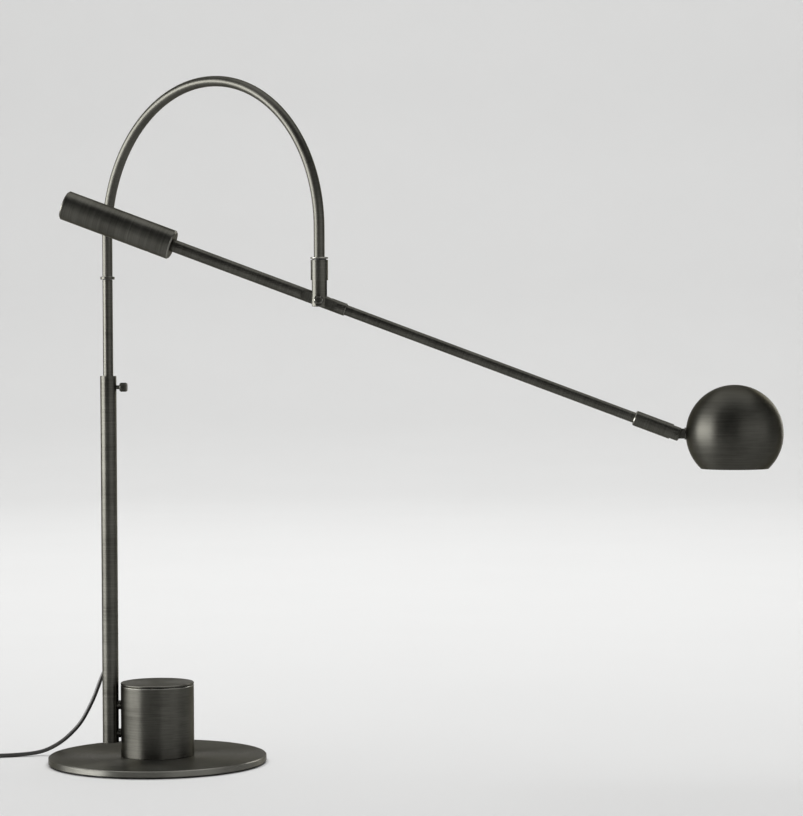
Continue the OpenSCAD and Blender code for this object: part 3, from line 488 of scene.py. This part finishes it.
def turned(name, corners, place, material, sides=64):
    """A turned solid: the profile runs from the axis to the axis, round the place's own Z."""
    profile = rounded(corners)
    points, faces = [], []
    for p in profile:
        for k in range(sides):
            a = 2 * pi * k / sides
            points.append(place @ Vector((p.x * cos(a), p.x * sin(a), p.y)))
    for i in range(len(profile) - 1):
        for k in range(sides):
            n = (k + 1) % sides
            faces.append((i * sides + k, i * sides + n, (i + 1) * sides + n, (i + 1) * sides + k))
    made = solid(name, points, faces, material)
    tidy = bmesh.new()
    tidy.from_mesh(made.data)
    bmesh.ops.remove_doubles(tidy, verts=tidy.verts, dist=1e-6)
    bmesh.ops.recalc_face_normals(tidy, faces=tidy.faces)
    tidy.to_mesh(made.data)
    tidy.free()
    return made


def swept(name, path, radius, sides, material):
    """A round tube along a path, with a UV map of turns round it and metres along it."""
    points, faces, uvs = [], [], []
    along = 0.0
    side = (path[1] - path[0]).orthogonal().normalized()
    for i, centre in enumerate(path):
        heading = (path[min(i + 1, len(path) - 1)] - path[max(i - 1, 0)]).normalized()
        side = (side - side.dot(heading) * heading).normalized()
        other = heading.cross(side)
        along += (centre - path[i - 1]).length if i else 0
        uvs.append(along)
        for k in range(sides):
            a = 2 * pi * k / sides
            points.append(centre + radius * (cos(a) * side + sin(a) * other))
    for i in range(len(path) - 1):
        for k in range(sides):
            n = (k + 1) % sides
            faces.append((i * sides + k, i * sides + n, (i + 1) * sides + n, (i + 1) * sides + k))
    last = (len(path) - 1) * sides
    faces.append(tuple(reversed(range(sides))))
    faces.append(tuple(range(last, last + sides)))
    made = solid(name, points, faces, material)
    lie = made.data.uv_layers.new(name="lie")
    for face in made.data.polygons:
        ring = [made.data.loops[i].vertex_index % sides for i in face.loop_indices]
        wraps = max(ring) - min(ring) > 1
        for i, k in zip(face.loop_indices, ring):
            row = made.data.loops[i].vertex_index // sides
            lie.data[i].uv = ((k or sides * wraps) / sides, uvs[row])
    return made, along


def grown(name, tree, inputs, place):
    """The plain mesh that a geometry tree grows, put in its place."""
    made = bpy.data.objects.new(name, bpy.data.meshes.new(name))
    bpy.context.scene.collection.objects.link(made)
    modifier = made.modifiers.new(name, "NODES")
    modifier.node_group = tree
    for item in tree.interface.items_tree:
        if item.in_out == "INPUT" and item.name in inputs:
            modifier[item.identifier] = inputs[item.name]
    graph = bpy.context.evaluated_depsgraph_get()
    mesh = bpy.data.meshes.new_from_object(made.evaluated_get(graph))
    made.modifiers.remove(modifier)
    made.data = mesh
    mesh.name = name
    mesh.transform(place)
    return made


def geometry_tree(name, inputs):
    """An empty geometry tree with named inputs, its graph and its signals by name."""
    tree = bpy.data.node_groups.new(name, "GeometryNodeTree")
    for title, (kind, default) in inputs.items():
        socket = tree.interface.new_socket(title, in_out="INPUT", socket_type=kind)
        if default is not None:
            socket.default_value = default
    tree.interface.new_socket("Geometry", in_out="OUTPUT", socket_type="NodeSocketGeometry")
    graph = Graph(tree)
    source = graph.node("NodeGroupInput").socket.node
    return graph, {title: Signal(graph, source.outputs[title]) for title in inputs}


def end_tree(graph, geometry, material):
    """Closes a tree with real geometry that has its material."""
    real = graph.node("GeometryNodeRealizeInstances", inputs={"Geometry": geometry})
    done = graph.node("GeometryNodeSetMaterial", inputs={"Geometry": real, "Material": material})
    graph.node("NodeGroupOutput", inputs={"Geometry": done})
    return graph.tree


def ridge_tree():
    """Straight ridges round a cylinder, as on the knurled head of a thumbscrew."""
    graph, given = geometry_tree("knurl_ridges", {
        "Count": ("NodeSocketInt", 30), "Radius": ("NodeSocketFloat", 4.4 * MM),
        "Width": ("NodeSocketFloat", 0.6 * MM), "Length": ("NodeSocketFloat", 5 * MM),
        "Material": ("NodeSocketMaterial", None)})
    ring = graph.node("GeometryNodeMeshCircle", inputs={
        "Vertices": given["Count"], "Radius": given["Radius"]})
    size = graph.node("ShaderNodeCombineXYZ", inputs={
        0: given["Width"], 1: given["Width"], 2: given["Length"]})
    ridge = graph.node("GeometryNodeMeshCube", inputs={"Size": size})
    index = graph.node("GeometryNodeInputIndex")
    turn = graph.node("ShaderNodeCombineXYZ", inputs={
        2: index * (2 * pi) / given["Count"] + pi / 4})
    rows = graph.node("GeometryNodeInstanceOnPoints", inputs={
        "Points": ring, "Instance": ridge, "Rotation": turn})
    return end_tree(graph, rows, given["Material"])


def bead_tree():
    """Round beads in a row along Z that grow or shrink, as on a strain relief."""
    graph, given = geometry_tree("bead_row", {
        "Count": ("NodeSocketInt", 7), "Step": ("NodeSocketFloat", 2 * MM),
        "First Radius": ("NodeSocketFloat", 3.8 * MM), "Last Radius": ("NodeSocketFloat", 2.7 * MM),
        "Bead": ("NodeSocketFloat", 0.16), "Material": ("NodeSocketMaterial", None)})
    offset = graph.node("ShaderNodeCombineXYZ", inputs={2: given["Step"]})
    row = graph.node("GeometryNodeMeshLine", inputs={"Count": given["Count"], "Offset": offset})
    hoop = graph.node("GeometryNodeCurvePrimitiveCircle", inputs={"Resolution": 40, "Radius": 1.0})
    wire = graph.node("GeometryNodeCurvePrimitiveCircle", inputs={
        "Resolution": 10, "Radius": given["Bead"]})
    bead = graph.node("GeometryNodeCurveToMesh", inputs={"Curve": hoop, "Profile Curve": wire})
    share = graph.node("GeometryNodeInputIndex") / (given["Count"] - 1)
    size = given["First Radius"] + (given["Last Radius"] - given["First Radius"]) * share
    scale = graph.node("ShaderNodeCombineXYZ", inputs={0: size, 1: size, 2: size})
    beads = graph.node("GeometryNodeInstanceOnPoints", inputs={
        "Points": row, "Instance": bead, "Scale": scale})
    smooth = graph.node("GeometryNodeSetShadeSmooth", inputs={"Geometry": beads})
    return end_tree(graph, smooth, given["Material"])


# Mains cord

# The free run's points, in metres: out of the strain relief, down to the table and off to the left
CORD_RUN = [
    (-0.0465, 0.027, 0.112), (-0.0465, 0.031, 0.112), (-0.0467, 0.037, 0.111),
    (-0.0476, 0.042, 0.108), (-0.0494, 0.046, 0.103), (-0.052, 0.0486, 0.0965),
    (-0.056, 0.05, 0.0885), (-0.0606, 0.0508, 0.08), (-0.0652, 0.0513, 0.068),
    (-0.0692, 0.0515, 0.058), (-0.075, 0.0515, 0.046), (-0.082, 0.0515, 0.034),
    (-0.0905, 0.0515, 0.024), (-0.102, 0.051, 0.014), (-0.1155, 0.05, 0.0065),
    (-0.128, 0.0475, 0.0032), (-0.145, 0.0415, 0.0022), (-0.163, 0.036, 0.0022),
    (-0.177, 0.0328, 0.0028), (-0.184, 0.032, 0.003)]
RUN_STEPS = 4
CORD_SIDES = 12
COIL_ENTRY = Vector((-0.196, 0.032))
COIL_STEPS = 48
TAIL_LEVEL, TAIL_DROP, TAIL_END = 0.017, 0.024, 0.006
TAIL_STEPS = 10
PLUG_LIFT = 0.01105


def smooth_path(points, steps):
    """A Catmull-Rom curve through points."""
    path, last = [], len(points) - 1
    for i in range(last):
        a, b = points[max(i - 1, 0)], points[i]
        c, d = points[i + 1], points[min(i + 2, last)]
        for k in range(steps):
            t = k / steps
            path.append(0.5 * (2 * b + (c - a) * t + (2 * a - 5 * b + 4 * c - d) * t ** 2
                               + (3 * b - a - 3 * c + d) * t ** 3))
    return path + [points[last]]


def ease(t):
    """A smooth step from 0 to 1."""
    t = min(1.0, max(0.0, t))
    return t * t * (3 - 2 * t)


def coil_path(cord):
    """The coil's turns in layers that spiral in and out, and the tail that drops to the plug."""
    span = cord.layer_turns * cord.pitch
    outer = cord.coil_radius + span / 2
    centre = COIL_ENTRY - Vector((0, outer))
    top = cord.lift + (cord.layers - 1) * cord.level
    path = []
    for i in range(round(cord.layers * cord.layer_turns * COIL_STEPS) + 1):
        turns = i / COIL_STEPS
        layer = min(int(turns / cord.layer_turns), cord.layers - 1)
        part = turns / cord.layer_turns - layer
        radius = outer - span * (1 - part if layer % 2 else part)
        climbs = [(turns - k * cord.layer_turns) * 2 + 0.5 for k in range(1, cord.layers)]
        height = cord.lift + cord.level * sum(min(1.0, max(0.0, climb)) for climb in climbs)
        angle = pi / 2 + 2 * pi * turns
        x, y = centre.x + radius * cos(angle), centre.y + radius * sin(angle)
        path.append(Vector((x, y, height)))
    tail = TAIL_LEVEL + TAIL_DROP
    for i in range(1, TAIL_STEPS + 1):
        out = tail * i / TAIL_STEPS
        drop = ease((out - TAIL_LEVEL) / TAIL_DROP)
        path.append(Vector((centre.x - outer, centre.y - out, top + (PLUG_LIFT - top) * drop)))
    path.append(Vector((centre.x - outer, centre.y - tail - TAIL_END, PLUG_LIFT)))
    return path


class LAMP_OT_place_camera(bpy.types.Operator):
    """Places the camera where the lamp is seen from its front"""

    bl_idname = "lamp.place_camera"
    bl_label = "Place Camera"

    def execute(self, context):
        stage = context.scene.lamp_stage
        lens = bpy.data.cameras.new("camera")
        lens.sensor_width = 36
        lens.lens = stage.focal_pixels * lens.sensor_width / IMAGE_HEIGHT
        lens.clip_start, lens.clip_end = 0.05, 60
        camera = bpy.data.objects.new("camera", lens)
        context.scene.collection.objects.link(camera)
        tilt = Matrix.Rotation(pi / 2 - stage.camera_pitch, 4, "X")
        roll = Matrix.Rotation(stage.camera_roll, 4, "Z")
        camera.matrix_world = Matrix.Translation(stage.camera_place) @ tilt @ roll
        context.scene.camera = camera
        return {"FINISHED"}


class LAMP_OT_lay_cord(bpy.types.Operator):
    """Lays the mains cord from the pole to its plug, with its spare length in a coil"""

    bl_idname = "lamp.lay_cord"
    bl_label = "Lay Mains Cord"

    def execute(self, context):
        cord = context.scene.lamp_cord
        run = [Vector(p) for p in CORD_RUN]
        path = run[:1] + smooth_path(run[1:], RUN_STEPS) + coil_path(cord)
        flex, length = swept("mains_cord", path, cord.diameter / 2, CORD_SIDES, cord_jacket())
        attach(flex, "base")
        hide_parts("cord_run", "cord_coil")

        plastic = speckled("moulded_black", (0.022, 0.022, 0.021), (0.045, 0.044, 0.042), 90, 0.46)
        relief = self.strain_relief(path[0], plastic)
        plug = self.plug(path[-1], plastic)
        paint(woven_band(), "cord_tie")
        blade = speckled("nickel_blade", (0.52, 0.50, 0.46), (0.62, 0.60, 0.56), 160, 0.26,
                         metallic=1.0)
        paint(blade, "plug_blades")
        return {"FINISHED"}

    def strain_relief(self, start, material):
        """The tapered sleeve with moulded beads where the cord leaves the pole."""
        low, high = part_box("cord_gland")
        place = frame_along(Vector((start.x, low.y, start.z)), (0, 1, 0))
        length = high.y - low.y
        collar = POLE.y + POLE_RADIUS - low.y
        body = turned("strain_relief", [
            (0, 0, 0), (3.1 * MM, 0, 0.3 * MM), (3.1 * MM, collar, 0), (4.5 * MM, collar, 0.3 * MM),
            (4.5 * MM, collar + 1.6 * MM, 0.4 * MM), (3.3 * MM, collar + 2.2 * MM, 0),
            (2.45 * MM, length, 0.2 * MM), (0, length, 0)], place, material, 40)
        beads = grown("strain_relief_beads", bead_tree(), {
            "Count": 8, "Step": 2 * MM, "First Radius": 3.25 * MM, "Last Radius": 2.35 * MM,
            "Bead": 0.17, "Material": material},
            place @ Matrix.Translation((0, 0, collar + 3.2 * MM)))
        for piece in (body, beads):
            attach(piece, "base")
        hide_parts("cord_gland")
        return body, beads

    def plug(self, end, material):
        """The plug's moulded body, with beads on its neck."""
        low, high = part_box("plug_body")
        length = high.y - low.y
        radius = (high.x - low.x) / 2
        place = frame_along(end, (0, -1, 0))
        body = turned("mains_plug", [
            (0, 0, 0), (3 * MM, 0, 0.4 * MM), (3.6 * MM, 10 * MM, 2 * MM),
            (radius - 1.6 * MM, 17 * MM, 2 * MM), (radius - 1.4 * MM, length - 6 * MM, 0.6 * MM),
            (radius, length - 5.2 * MM, 0.5 * MM), (radius, length, 0.8 * MM), (0, length, 0)],
            place, material, 56)
        beads = grown("mains_plug_beads", bead_tree(), {
            "Count": 4, "Step": 2 * MM, "First Radius": 3.0 * MM, "Last Radius": 3.2 * MM,
            "Bead": 0.16, "Material": material}, place @ Matrix.Translation((0, 0, 1.6 * MM)))
        for piece in (body, beads):
            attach(piece, "base")
        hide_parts("plug_body")
        return body, beads


class LAMP_OT_finish_base(bpy.types.Operator):
    """Finishes the base plate, its pad, the drum and the dimmer"""

    bl_idname = "lamp.finish_base"
    bl_label = "Finish Base and Drum"

    def execute(self, context):
        place = Matrix.Identity(4)
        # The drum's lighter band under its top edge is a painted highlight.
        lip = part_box("drum_shell")[1].z
        paint(bronze("bronze_drum", place, anisotropic=0.62, lip=lip), "drum_shell")
        paint(bronze("bronze_cap", place, anisotropic=0.62), "dimmer_cap")
        # The plate's lighter side wall is a painted highlight.
        paint(bronze("bronze_plate", place, anisotropic=0.8, extra_roughness=0.06,
                     wall_highlight=0.55), "base_plate")
        paint(speckled("pad_rubber", (0.018, 0.018, 0.018), (0.04, 0.04, 0.04), 220, 0.86,
                       grain=0.3), "base_pad")
        return {"FINISHED"}


class LAMP_OT_finish_pole(bpy.types.Operator):
    """Finishes the pole and the stem, and makes the knurled thumbscrew"""

    bl_idname = "lamp.finish_pole"
    bl_label = "Finish Pole and Stem"

    def execute(self, context):
        metal = bronze("bronze_pole", Matrix.Translation(POLE), anisotropic=0.5,
                       extra_roughness=0.04)
        paint(metal, "pole", "pole_plug", "stem_tube", "arch_foot")
        screw = bronze("bronze_screw", frame_along(LOCK, (1, 0, 0)))
        paint(screw, "pole_spacers")
        self.thumbscrew(screw)
        return {"FINISHED"}

    def thumbscrew(self, material):
        """The screw that clamps the stem, with straight ridges round its head."""
        low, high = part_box("lock_screw")
        place = frame_along(Vector((low.x, LOCK.y, LOCK.z)), (1, 0, 0))
        length, radius = high.x - low.x, (high.z - low.z) / 2
        head = length - 7.6 * MM
        body = turned("thumbscrew", [
            (0, 0, 0), (2 * MM, 0, 0.3 * MM), (2 * MM, head, 0),
            (radius - 0.7 * MM, head, 0.3 * MM), (radius - 0.25 * MM, head + 1 * MM, 0),
            (radius - 0.25 * MM, length - 1 * MM, 0), (radius - 0.7 * MM, length, 0.3 * MM),
            (0, length, 0)], place, material, 48)
        ridges = grown("thumbscrew_ridges", ridge_tree(), {
            "Count": 36, "Radius": radius - 0.42 * MM, "Width": 0.58 * MM, "Length": 5.4 * MM,
            "Material": material}, place @ Matrix.Translation((0, 0, head + 3.8 * MM)))
        for piece in (body, ridges):
            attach(piece, "thumbscrew")
        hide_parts("lock_screw")


class LAMP_OT_finish_arch(bpy.types.Operator):
    """Finishes the arch and the fork that hangs from it"""

    bl_idname = "lamp.finish_arch"
    bl_label = "Finish Arch and Fork"

    def execute(self, context):
        bend = frame_along(ARCH_MIDDLE, ARCH_NORMAL)
        hang = Matrix.Translation(FORK)
        paint(bronze("bronze_arch", bend, arch_radius=ARCH_RADIUS, worn_and_lit=False,
                     extra_roughness=0.1), "arch_tube")
        paint(bronze("bronze_fork", hang, anisotropic=0.4, extra_roughness=0.05), "fork_body")
        # The tip's lighter side wall is a painted highlight.
        paint(bronze("bronze_tip", hang, wall_highlight=0.7), "arch_tip")
        # The pivot head's lighter rim is a painted highlight.
        low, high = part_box("pivot_screw")
        rim = (high.z - low.z) / 2
        pivot = bronze("bronze_pivot", frame_along(PIVOT, TILT_AXIS), rim_radius=rim)
        paint(pivot, "pivot_screw", "pivot_nut")
        return {"FINISHED"}


class LAMP_OT_finish_arm(bpy.types.Operator):
    """Finishes the arm, its counterweight and the ferrule at its end"""

    bl_idname = "lamp.finish_arm"
    bl_label = "Finish Arm"

    def execute(self, context):
        metal = bronze("bronze_arm", frame_along(PIVOT, ARM_AXIS), groove=0.7, extra_roughness=0.04)
        paint(metal, "arm_sleeve", "arm_rod", "counterweight", "ferrule")
        return {"FINISHED"}


class LAMP_OT_finish_shade(bpy.types.Operator):
    """Finishes the ball shade, its neck, the lampholder and the bulb"""

    bl_idname = "lamp.finish_shade"
    bl_label = "Finish Shade"

    def execute(self, context):
        paint(shade_bronze(), "shade_shell")
        paint(bronze("bronze_neck", frame_along(BALL, NECK_AXIS)), "shade_neck")
        paint(bronze("bronze_pin", frame_along(KNUCKLE, TILT_AXIS)), "knuckle_pin")
        paint(speckled("white_ceramic", (0.78, 0.77, 0.72), (0.86, 0.85, 0.81), 120, 0.55),
              "lampholder", "bulb_base")
        paint(frosted_glass(), "bulb_glass")
        return {"FINISHED"}


class LAMP_OT_finish_inside(bpy.types.Operator):
    """Finishes the bushes, washers, screws and leads inside the lamp"""

    bl_idname = "lamp.finish_inside"
    bl_label = "Finish Inner Pieces"

    def execute(self, context):
        zinc = speckled("zinc_steel", (0.46, 0.46, 0.45), (0.60, 0.60, 0.59), 140, 0.34,
                        metallic=1.0)
        paint(zinc, "base_screws", "drum_ballast", "drum_deck", "dimmer_shaft", "pole_screws",
              "foot_clip", "tip_clip", "rod_stop", "weight_grub", "neck_washer", "holder_bracket",
              "holder_screws")
        brass = speckled("turned_brass", (0.52, 0.38, 0.16), (0.66, 0.50, 0.24), 140, 0.28,
                         metallic=1.0)
        paint(brass, "dimmer_nut", "stem_bush", "fork_bush", "ferrule_bush", "neck_nut")
        nylon = speckled("black_nylon", (0.025, 0.025, 0.025), (0.05, 0.05, 0.05), 120, 0.5)
        paint(nylon, "dimmer_module", "pole_bush", "stem_guide", "foot_washer", "fork_washer",
              "pivot_washers")
        lead = speckled("lead_jacket", (0.02, 0.02, 0.02), (0.04, 0.04, 0.04), 90, 0.5)
        paint(lead, "stem_lead", "arch_lead", "arm_lead")
        return {"FINISHED"}


class LAMP_OT_set_stage(bpy.types.Operator):
    """Sets up the pale floor and backdrop, and the soft lights"""

    bl_idname = "lamp.set_stage"
    bl_label = "Set Stage"

    def execute(self, context):
        scene, stage = context.scene, context.scene.lamp_stage
        scene.view_settings.view_transform = "Standard"
        floor = self.backdrop(stage)
        sky = bpy.data.worlds.new("sky")
        sky.use_nodes = True
        light = sky.node_tree.nodes["Background"].inputs
        light["Color"].default_value = (1, 1, 1, 1)
        light["Strength"].default_value = stage.sky
        scene.world = sky
        key = self.lamp("key_light", stage.key, (2.6, 1.1), (-2.45, -0.5, 0.68), (0.1, 0, 0.4))
        fill = self.lamp("fill_light", stage.fill, (3.2, 1.3), (2.0, -1.9, 0.75), (0.2, 0, 0.35))
        self.lamp("top_light", stage.top, (4.5, 3.4), (0.2, 0.7, 3.4), (0.2, 0.5, 0))
        rim = self.lamp("rim_light", stage.rim, (0.35, 1.6), (1.7, 1.9, 0.9), (0.3, 0, 0.35))
        back = self.lamp("back_light", stage.back, (6, 3), (0.2, 3.6, 6), (0.2, 8.4, 1.6))
        over = self.lamp("floor_light", stage.over, (6, 6), (0.2, 0.2, 4.5), (0.2, 0.2, 0))
        pieces = [thing for thing in scene.objects if thing.type == "MESH" and thing != floor]
        self.shine_on("lit_pieces", (key, fill, rim), pieces)
        self.shine_on("lit_stage", (back, over), [floor])
        return {"FINISHED"}

    def backdrop(self, stage):
        """A round sheet of pale paper that turns up all round, far from the lamp."""
        finish = Finish("floor_paper")
        drift = finish.noise(finish.coordinate(), 3.0, detail=3.0)
        pale = tuple(stage.floor)
        soft = tuple(0.97 * value for value in pale[:3]) + (1,)
        finish.set("Base Color", finish.mix(drift, soft, pale))
        finish.set("Roughness", 0.85 + drift * 0.1)
        reach, bend, height = 9.0, 4.0, 7.0
        floor = turned("floor", [(0, 0, 0), (reach, 0, bend), (reach, height, 0)],
                       Matrix.Identity(4), finish.material, 96)
        return floor

    def shine_on(self, name, lamps, pieces):
        """Lets these lamps light only these pieces."""
        lit = bpy.data.collections.new(name)
        for piece in pieces:
            lit.objects.link(piece)
        for lamp in lamps:
            lamp.light_linking.receiver_collection = lit

    def lamp(self, name, power, size, place, target):
        """A soft light of this power and size that faces its target."""
        light = bpy.data.lights.new(name, "AREA")
        light.shape = "RECTANGLE"
        light.size, light.size_y = size
        light.energy = power
        lamp = bpy.data.objects.new(name, light)
        bpy.context.scene.collection.objects.link(lamp)
        turn = (Vector(target) - Vector(place)).to_track_quat("-Z", "Y").to_matrix().to_4x4()
        lamp.matrix_world = Matrix.Translation(place) @ turn
        return lamp


OPERATORS = (
    LAMP_OT_place_camera, LAMP_OT_lay_cord, LAMP_OT_finish_base, LAMP_OT_finish_pole,
    LAMP_OT_finish_arch, LAMP_OT_finish_arm, LAMP_OT_finish_shade, LAMP_OT_finish_inside,
    LAMP_OT_set_stage)
SETTINGS = {
    "lamp_cord": LampCordSettings, "lamp_finish": LampFinishSettings,
    "lamp_stage": LampStageSettings}


class LAMP_PT_panel(bpy.types.Panel):
    """Lists the lamp's steps and settings in the sidebar"""

    bl_idname = "LAMP_PT_panel"
    bl_label = "Swing Arm Table Lamp"
    bl_space_type = "VIEW_3D"
    bl_region_type = "UI"
    bl_category = "Lamp"

    def draw(self, context):
        for operator in OPERATORS:
            self.layout.operator(operator.bl_idname)
        for name in SETTINGS:
            group = getattr(context.scene, name)
            box = self.layout.box()
            for key in group.bl_rna.properties.keys():
                if key not in ("rna_type", "name"):
                    box.prop(group, key)


CLASSES = (*SETTINGS.values(), *OPERATORS, LAMP_PT_panel)


def register():
    for cls in CLASSES:
        bpy.utils.register_class(cls)
    for name, cls in SETTINGS.items():
        setattr(bpy.types.Scene, name, PointerProperty(type=cls))


def unregister():
    for name in SETTINGS:
        delattr(bpy.types.Scene, name)
    for cls in reversed(CLASSES):
        bpy.utils.unregister_class(cls)


def main():
    register()
    for operator in OPERATORS:
        group, name = operator.bl_idname.split(".")
        getattr(getattr(bpy.ops, group), name)()


if __name__ == "__main__":
    main()
